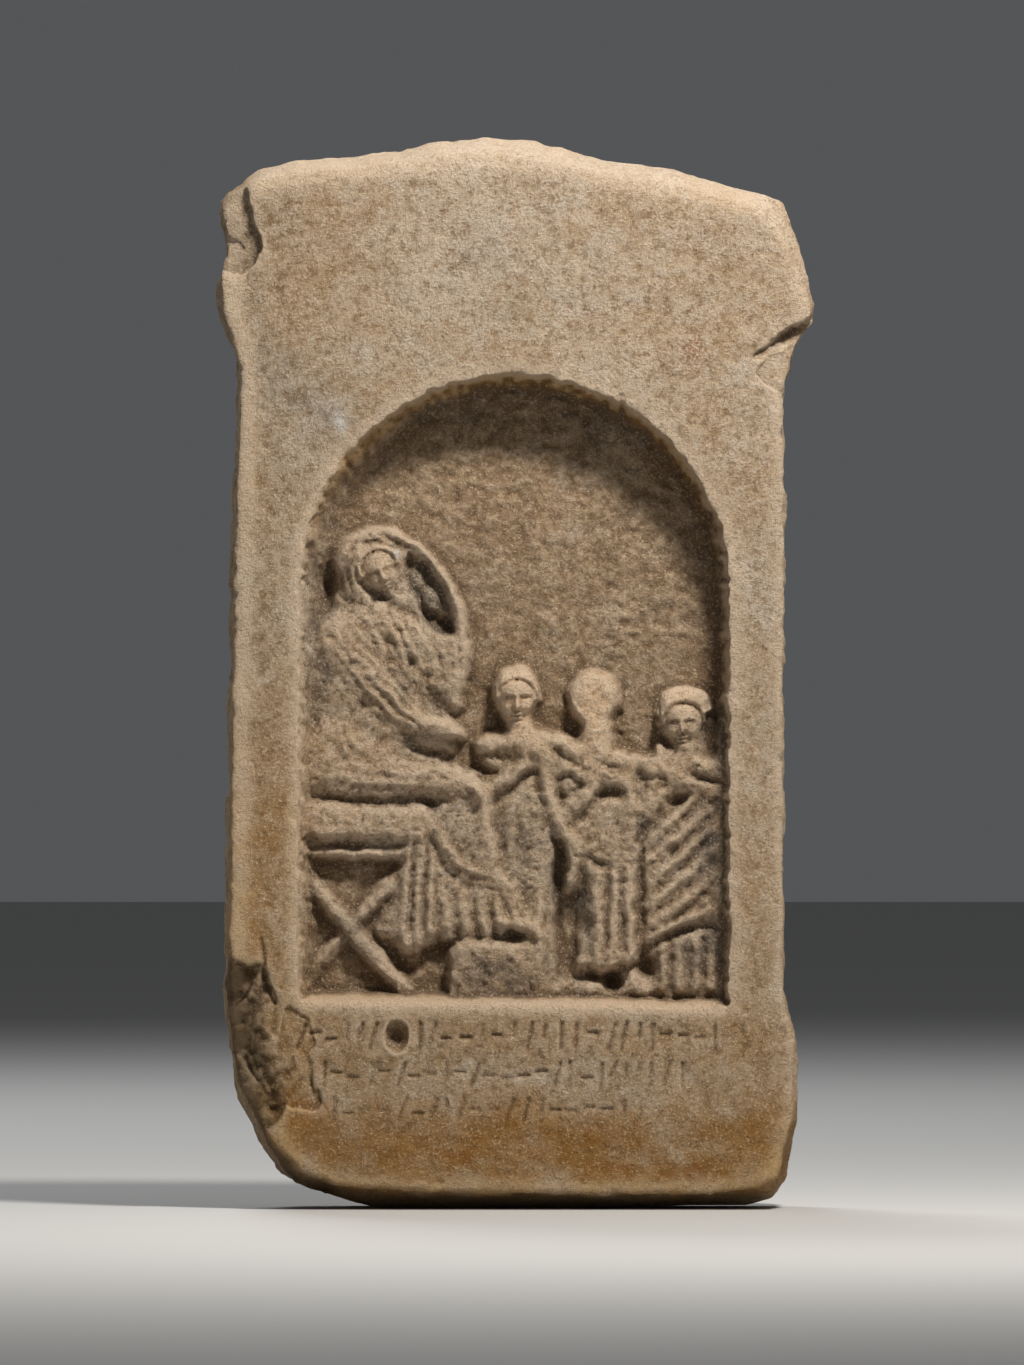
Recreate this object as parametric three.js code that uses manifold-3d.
// A small carved marble grave stele in one piece: a slab with a worn cornice and base, an arched niche with a
// seated woman and three standing attendants in relief, and three rows of shallow strokes under the niche.
// Millimetres, +Z up, front towards -Y. The origin is under the middle of the slab, on the surface it stands on.
import * as THREE from "three";
import { mergeVertices } from "three/addons/utils/BufferGeometryUtils.js";
import Module from "manifold-3d";

const wasm = await Module();
wasm.setup();

// Driving sizes of the slab and the niche
const DEPTH = 90;
const FRONT = -DEPTH / 2;
const NICHE_DEPTH = 29;
const NICHE_FLOOR = FRONT + NICHE_DEPTH;
const NICHE_HALF_WIDTH = 120;
const NICHE_SILL = 116;
const NICHE_SPRING = 346;
const WALL_CANT = 7;
const ARCH_SIDES = 28;
const RELIEF = 26;

// ---- From three.js shapes to solids and back ----

function solidOf(geometry) {
  const bare = geometry.clone();
  bare.deleteAttribute("normal");
  bare.deleteAttribute("uv");
  const merged = mergeVertices(bare, 1e-3);
  return new wasm.Manifold(
    new wasm.Mesh({
      numProp: 3,
      vertProperties: merged.attributes.position.array,
      triVerts: new Uint32Array(merged.index.array),
    }),
  );
}

function geometryOf(solid) {
  const mesh = solid.getMesh();
  const geometry = new THREE.BufferGeometry();
  geometry.setAttribute("position", new THREE.BufferAttribute(mesh.vertProperties, 3));
  geometry.setIndex(new THREE.BufferAttribute(mesh.triVerts, 1));
  geometry.computeVertexNormals();
  return geometry;
}

const join = (solids) => solids.reduce((whole, piece) => whole.add(piece));

// A point of the relief: across, up, and how far it stands out from the niche's floor
const at = (x, z, rise = 0) => new THREE.Vector3(x, NICHE_FLOOR - rise, z);

// A flat outline in the X-Z plane, extruded from y = back towards the front
function panel(points, back, depth, steps = 1) {
  const shape = new THREE.Shape(points.map(([x, z]) => new THREE.Vector2(x, z)));
  const geometry = new THREE.ExtrudeGeometry(shape, { depth, steps, bevelEnabled: false });
  return geometry.rotateX(Math.PI / 2).translate(0, back, 0);
}

// ---- Carving forms ----

// A rounded lump, optionally turned in the plane of the relief
function lump(x, z, rise, [halfWidth, halfHeight, halfDepth], turnDeg = 0, sides = 12) {
  const geometry = new THREE.SphereGeometry(1, sides, Math.round(sides * 0.6));
  geometry.rotateX(Math.PI / 2).scale(halfWidth, halfDepth, halfHeight);
  geometry.rotateY(THREE.MathUtils.degToRad(-turnDeg));
  const centre = at(x, z, rise);
  return solidOf(geometry.translate(centre.x, centre.y, centre.z));
}

// A swelling body of cloth: a smooth closed outline with generously rounded edges
function body(points, rise, rounding = 7) {
  const outline = new THREE.Shape();
  const [first, ...rest] = [...points, points[0]].map(([x, z]) => new THREE.Vector2(x, z));
  outline.moveTo(first.x, first.y).splineThru(rest);
  const geometry = new THREE.ExtrudeGeometry(outline, {
    depth: 30,
    curveSegments: 2,
    bevelThickness: rounding,
    bevelSize: rounding * 0.8,
    bevelOffset: -rounding * 0.8,
    bevelSegments: 2,
  });
  geometry.rotateX(Math.PI / 2);
  return solidOf(geometry.translate(0, NICHE_FLOOR - rise + 30 + rounding, 0));
}

// A limb, fold or roll of cloth: a spindle bent along a smooth line, from one radius to another, blunt at both ends
function roll(points, startRadius, endRadius = startRadius, { sides = 6, bluntness = 0.4 } = {}) {
  const curve = new THREE.CatmullRomCurve3(points.map((p) => at(...p)), false, "centripetal");
  const rings = points.length + 2;
  const geometry = new THREE.SphereGeometry(1, sides, rings);
  const position = geometry.attributes.position;
  const vertex = new THREE.Vector3();
  const outward = new THREE.Vector3(0, -1, 0);
  for (let i = 0; i < position.count; i++) {
    vertex.fromBufferAttribute(position, i);
    const along = (1 - vertex.y) / 2;
    const tangent = curve.getTangent(along);
    const across = new THREE.Vector3().crossVectors(tangent, outward).normalize();
    const out = new THREE.Vector3().crossVectors(across, tangent).normalize();
    const ringRadius = Math.hypot(vertex.x, vertex.z);
    const radius = ringRadius < 1e-6
      ? 0
      : THREE.MathUtils.lerp(startRadius, endRadius, along) * ringRadius ** bluntness;
    const angle = Math.atan2(vertex.z, vertex.x);
    const place = curve.getPoint(along);
    place.addScaledVector(across, radius * Math.cos(angle));
    place.addScaledVector(out, radius * Math.sin(angle));
    position.setXYZ(i, place.x, place.y, place.z);
  }
  const solid = solidOf(geometry);
  return solid.volume() < 0 ? solidOf(flipped(geometry)) : solid;
}

function flipped(geometry) {
  const index = geometry.index.array;
  for (let i = 0; i < index.length; i += 3) {
    [index[i + 1], index[i + 2]] = [index[i + 2], index[i + 1]];
  }
  return geometry;
}

// A straight squared bar between two points of the relief, as a stool's leg or rail
function bar([x0, z0], [x1, z1], width, rise, depth = 30) {
  const length = Math.hypot(x1 - x0, z1 - z0);
  const geometry = new THREE.BoxGeometry(length, depth, width);
  geometry.rotateY(-Math.atan2(z1 - z0, x1 - x0));
  return solidOf(geometry.translate((x0 + x1) / 2, NICHE_FLOOR - rise + depth / 2, (z0 + z1) / 2));
}

// ---- The slab ----

// Silhouette, clockwise from the top left corner, with a point only where it turns. The cornice overhangs the shaft
// and the base steps out again on the right; the left side of the base is broken away.
const TOP = [
  [-169, 566], [-162, 573], [-150, 580], [-122, 587], [-64, 592], [-48, 597], [-15, 600], [12, 598], [50, 587],
  [90, 582], [140, 567],
];
const RIGHT = [
  [152, 562], [158, 544], [169, 506], [168, 495], [158, 480], [153, 464], [152, 122], [160, 92], [160, 52], [154, 14],
];
const UNDERSIDE = [[146, 4], [130, 0], [-76, 0], [-110, 8]];
const LEFT = [
  [-130, 15], [-144, 31], [-158, 63], [-166, 122], [-158, 472], [-169, 508], [-169, 520], [-164, 531], [-165, 545],
  [-169, 556],
];
const SILHOUETTE = [...TOP, ...RIGHT, ...UNDERSIDE, ...LEFT].reverse();

// How far the front arris is worn back from the silhouette, and how deep into the slab the wear reaches
const WORN_TOP = { by: 14, reach: 45 };
const WORN_FOOT = { by: 9, reach: 30 };
const WORN_LEFT = { by: 5, reach: 45 };
const BACK_ARRIS = 4;
const SLAB_STEPS = 6;

const worn = ({ by, reach }, fromFront) => by * Math.max(0, 1 - fromFront / reach) ** 2.2;

function slab() {
  const geometry = panel(SILHOUETTE, -FRONT, DEPTH, SLAB_STEPS);
  const position = geometry.attributes.position;
  for (let i = 0; i < position.count; i++) {
    const x = position.getX(i);
    const z = position.getZ(i);
    const fromFront = position.getY(i) - FRONT;
    const back = fromFront > DEPTH - 1 ? BACK_ARRIS : 0;
    const nearTop = THREE.MathUtils.smoothstep(z, 530, 570);
    const nearFoot = 1 - THREE.MathUtils.smoothstep(z, 0, 40);
    const nearLeft = 1 - THREE.MathUtils.smoothstep(x, -160, -120);
    const nearSide = Math.abs(x) > 140 ? Math.sign(x) : 0;
    position.setX(i, x + nearLeft * worn(WORN_LEFT, fromFront) - nearSide * back);
    position.setZ(i, z - nearTop * (worn(WORN_TOP, fromFront) + back) + nearFoot * worn(WORN_FOOT, fromFront));
  }
  return solidOf(geometry);
}

// ---- The niche: straight sides under a round arch, the walls canted in towards the floor ----

function archOutline(inset) {
  const radius = NICHE_HALF_WIDTH - inset;
  const arch = [];
  for (let i = 0; i <= ARCH_SIDES; i++) {
    const angle = (Math.PI * i) / ARCH_SIDES;
    arch.push([radius * Math.cos(angle), NICHE_SPRING + radius * Math.sin(angle)]);
  }
  return [[-radius, NICHE_SILL + inset * 0.4], [radius, NICHE_SILL + inset * 0.4], ...arch];
}

function niche() {
  const proud = 2;
  const geometry = panel(archOutline(0), NICHE_FLOOR, NICHE_DEPTH + proud);
  const position = geometry.attributes.position;
  const centre = (NICHE_SILL + NICHE_SPRING) / 2;
  for (let i = 0; i < position.count; i++) {
    if (position.getY(i) < NICHE_FLOOR - 1) continue;
    const share = 1 - WALL_CANT / NICHE_HALF_WIDTH;
    position.setX(i, position.getX(i) * share);
    position.setZ(i, centre + (position.getZ(i) - centre) * (1 - WALL_CANT / (centre - NICHE_SILL) / 2));
  }
  return solidOf(geometry);
}

// ---- The folding stool, its cushion and the footstool ----

function stool() {
  return [
    bar([-123, 212], [-56, 212], 14, 15),
    roll([[-124, 220, 6], [-90, 219, 7], [-46, 219, 7]], 8, 8, { bluntness: 0.2 }),
    roll([[-124, 209, 6], [-90, 208, 7], [-50, 209, 7]], 7, 7, { bluntness: 0.2 }),
    bar([-120, 198], [-60, 197], 5, 12),
    bar([-119, 194], [-61, 119], 9, 9),
    bar([-62, 188], [-119, 124], 7, 6),
  ];
}

function footstool() {
  return [bar([-32, 131], [16, 131], 30, 15), bar([-30, 147], [17, 147], 6, 17)];
}

// ---- The seated woman, turned to the right, one hand raised to her veil ----

function seatedWoman() {
  const masses = [
    body([[-84, 338], [-103, 332], [-112, 305], [-114, 278], [-98, 262], [-66, 260], [-42, 270], [-38, 288],
      [-46, 308], [-56, 326], [-66, 338]], 13, 10),
    body([[-119, 228], [-121, 246], [-112, 264], [-88, 270], [-58, 262], [-30, 251], [-12, 243], [-7, 232],
      [-14, 221], [-44, 219], [-84, 222]], 20, 11),
    body([[-14, 238], [-5, 222], [-5, 200], [1, 178], [8, 160], [0, 152], [-20, 150], [-38, 148], [-54, 138],
      [-68, 146], [-69, 178], [-64, 206], [-48, 222], [-30, 230]], 12, 7),
  ];
  const slungArm = [
    roll([[-98, 326, 8], [-80, 302, 12], [-60, 280, 15]], 11, 9),
    roll([[-68, 288, 13], [-50, 272, 15], [-27, 262, 15]], 8, 6),
    roll([[-88, 328, 15], [-70, 302, 19], [-52, 279, 20]], 3.5, 4),
    roll([[-72, 326, 13], [-58, 304, 15], [-48, 288, 14]], 3.5, 3.5),
  ];
  const raisedArm = [
    roll([[-40, 284, 6], [-33, 304, 9], [-30, 322, 10]], 8, 6),
    roll([[-30, 316, 9], [-32, 338, 11], [-44, 361, 12], [-60, 374, 12]], 5.5, 4.5),
    lump(-49, 329, 4, [8, 9, 10], 20, 10),
  ];
  const head = [
    lump(-73, 359, 9, [12.5, 16.5, 12], 6),
    roll([[-68, 332, 7], [-72, 350, 8]], 9, 8),
    roll([[-88, 334, 8], [-95, 352, 10], [-92, 371, 11], [-76, 380, 12], [-58, 374, 11]], 5.5, 5),
    roll([[-83, 368, 14], [-74, 373, 16], [-63, 369, 15]], 4, 3.5),
  ];
  const folds = [
    roll([[-82, 266, 17], [-56, 257, 20], [-22, 245, 19]], 5, 4.5),
    roll([[-106, 240, 16], [-74, 234, 21], [-36, 236, 20]], 5, 4.5),
    roll([[-50, 218, 12], [-31, 192, 16], [-8, 178, 15]], 4.5, 4),
    roll([[-20, 232, 12], [-13, 205, 13], [-3, 164, 12]], 6, 5),
  ];
  const skirtFolds = 4;
  for (let i = 0; i < skirtFolds; i++) {
    const x = -42 + 11 * i;
    folds.push(roll([[x, 184 - 2 * i, 11], [x + 2, 168, 13], [x + 4, 151, 11]], 3.5, 4));
  }
  const cascadeFolds = 3;
  for (let i = 0; i < cascadeFolds; i++) {
    const x = -48 - 7.5 * i;
    folds.push(roll([[x, 212 - 12 * i, 11], [x - 1, 178, 12], [x + 1, 145 - 3 * i, 10]], 4.5, 4.5));
  }
  const foot = roll([[-8, 160, 9], [4, 156, 14], [17, 152, 13]], 5, 3.5);
  return [...masses, ...slungArm, ...raisedArm, ...head, ...folds, foot];
}

// Drilled hollows round her head
function hollows() {
  return [
    lump(-53, 357, 16, [6, 9, 14], 25, 10),
    lump(-42, 335, 16, [5, 11, 14], 25, 10),
    lump(-104, 352, 16, [6, 11, 14], 0, 10),
    lump(-45, 281, 18, [8, 4, 10], -25, 10),
    lump(55, 233, 18, [5, 5, 10], 0, 10),
    lump(94, 229, 18, [5, 5, 10], 0, 10),
  ];
}

// ---- The standing attendants, each wrapped in a cloak that slings one arm across the chest ----

function attendant({ x, headTop, headHalf, outline, broken }) {
  const [halfWidth, halfHeight] = headHalf;
  const middle = headTop - halfHeight;
  const head = lump(x, middle, 10, [halfWidth, halfHeight, 13]);
  const lost = new THREE.BoxGeometry(60, 20, 60).translate(x, NICHE_FLOOR - 28, middle);
  const features = [
    roll([[x, middle + 3, 21], [x, middle - 4, 23]], 1.6, 2.4),
    roll([[x - 8, middle + 5, 19], [x, middle + 4, 22], [x + 8, middle + 5, 19]], 1.8, 1.8),
  ];
  const face = broken ? [head.subtract(solidOf(lost))] : [head, ...features];
  const neck = roll([[x + 2, outline[0][1] - 8, 9], [x + 1, middle - 6, 8]], 9, 8);
  return [...face, neck, body(outline, 13)];
}

function attendants() {
  const first = attendant({
    x: 1.5, headTop: 305, headHalf: [12.5, 16], broken: false,
    outline: [[-2, 269], [-17, 259], [-18, 240], [-10, 215], [-7, 175], [-7, 130], [24, 130], [27, 170],
      [29, 215], [26, 248], [22, 261], [8, 269]],
  });
  const second = attendant({
    x: 44.5, headTop: 299, headHalf: [14, 16], broken: true,
    outline: [[41, 263], [27, 256], [25, 236], [31, 210], [33, 180], [35, 131], [69, 131], [71, 165],
      [69, 200], [71, 234], [66, 251], [54, 261]],
  });
  const third = attendant({
    x: 95, headTop: 294, headHalf: [15, 18], broken: false,
    outline: [[90, 257], [77, 251], [71, 232], [72, 205], [75, 175], [76, 130], [114, 130], [116, 165],
      [115, 205], [117, 232], [112, 247], [100, 256]],
  });
  const cloaks = [
    roll([[-17, 257, 11], [2, 253, 16], [22, 250, 14]], 4.5, 4),
    roll([[-13, 230, 11], [0, 243, 15], [12, 250, 16]], 4, 4.5),
    roll([[16, 244, 15], [22, 222, 16], [31, 202, 14], [33, 184, 11]], 4, 4),
    roll([[26, 253, 12], [44, 248, 16], [62, 242, 15]], 4.5, 4),
    roll([[26, 218, 12], [40, 232, 16], [52, 245, 16]], 4.5, 4),
    roll([[66, 238, 12], [66, 205, 13], [63, 176, 12]], 5, 5),
    roll([[78, 247, 12], [94, 243, 16], [114, 242, 13]], 4.5, 4),
    roll([[82, 289, 15], [95, 294, 19], [108, 289, 15]], 4.5, 4.5),
    roll([[76, 148, 12], [88, 156, 15], [113, 162, 13]], 4, 4),
  ];
  const cloakFolds = 5;
  for (let i = 0; i < cloakFolds; i++) {
    const low = 208 - 13 * i;
    cloaks.push(roll([[76, low, 12], [92, low + 13, 16], [111, low + 25, 13]], 4, 4));
  }
  const tunicFolds = 4;
  for (let i = 0; i < tunicFolds; i++) {
    const x = 39 + 8 * i;
    cloaks.push(roll([[x, 200 - 4 * i, 13], [x, 168, 15], [x + 1, 136, 13]], 3.5, 3.5));
    cloaks.push(roll([[x + 43, 152 + 2 * i, 12], [x + 43, 140, 14], [x + 43, 130, 13]], 3.5, 3.5));
  }
  return [...first, ...second, ...third, ...cloaks];
}

// Lumpy ground that the attendants stand on, and their feet
function ground() {
  return [
    roll([[8, 119, 4], [60, 122, 6], [124, 118, 4]], 10, 10, { bluntness: 0.2 }),
    roll([[18, 128, 10], [24, 122, 17]], 5, 4),
    roll([[44, 130, 10], [46, 122, 17]], 5, 4),
    roll([[68, 130, 10], [70, 121, 18]], 5, 4),
    roll([[96, 128, 8], [98, 121, 15]], 5, 4),
  ];
}

// ---- Breaks: a spalled top left corner, a scoop under the cornice's right end, the lost lower left corner ----

function boulder(x, y, z, radii, turns) {
  const geometry = new THREE.IcosahedronGeometry(1, 2).scale(...radii);
  geometry.rotateX(turns[0]).rotateY(turns[1]).rotateZ(turns[2]);
  return solidOf(geometry.translate(x, y, z));
}

function breaks() {
  return [
    boulder(-166, FRONT - 2, 545, [17, 15, 26], [0, -0.25, 0]),
    boulder(150, FRONT - 4, 478, [22, 13, 9], [0, -0.6, 0]),
    boulder(-172, FRONT - 8, 110, [42, 30, 46], [0, 0.3, 0.2]),
    boulder(-158, FRONT - 10, 62, [44, 30, 40], [0, 0.5, 0]),
    boulder(-65, FRONT - 1, 97, [5, 7, 7.5], [0, 0, 0]),
  ];
}

// ---- Three rows of shallow cut strokes, none of them a letter ----

const ROWS = [
  { left: -112, right: 114, base: 90, height: 14 },
  { left: -104, right: 98, base: 68, height: 14 },
  { left: -96, right: 80, base: 50, height: 12 },
];
const STROKE_PITCH = 13;
const STROKE_DEPTH = 1.6;

function strokes() {
  const cuts = [];
  for (const { left, right, base, height } of ROWS) {
    const count = Math.round((right - left) / STROKE_PITCH);
    for (let i = 0; i <= count; i++) {
      const x = left + ((right - left) * i) / count;
      if (Math.hypot(x + 65, base + height / 2 - 97) < 12) continue;
      const lean = (i % 3) - 1;
      const geometry = new THREE.CylinderGeometry(STROKE_DEPTH, STROKE_DEPTH, height * (i % 2 ? 0.62 : 0.9), 4);
      geometry.rotateX(Math.PI / 2).rotateY(0.42 + 0.28 * lean);
      cuts.push(solidOf(geometry.translate(x, FRONT, base + height / 2)));
    }
  }
  return cuts;
}

// ---- One stone ----

const stone = slab().subtract(niche());
const figures = join([...stool(), ...footstool(), ...seatedWoman(), ...attendants(), ...ground()]);
const envelope = solidOf(panel(archOutline(3), NICHE_FLOOR + 12, RELIEF + 12));
const carved = stone.add(figures.subtract(join(hollows())).intersect(envelope));
const finished = carved.subtract(join([...breaks(), ...strokes()]));

const marble = new THREE.MeshStandardMaterial({ color: 0xa58c6b, roughness: 0.85, metalness: 0 });
const stele = new THREE.Mesh(geometryOf(finished), marble);
stele.name = "stele";

const part = new THREE.Group();
part.add(stele);
export default part;
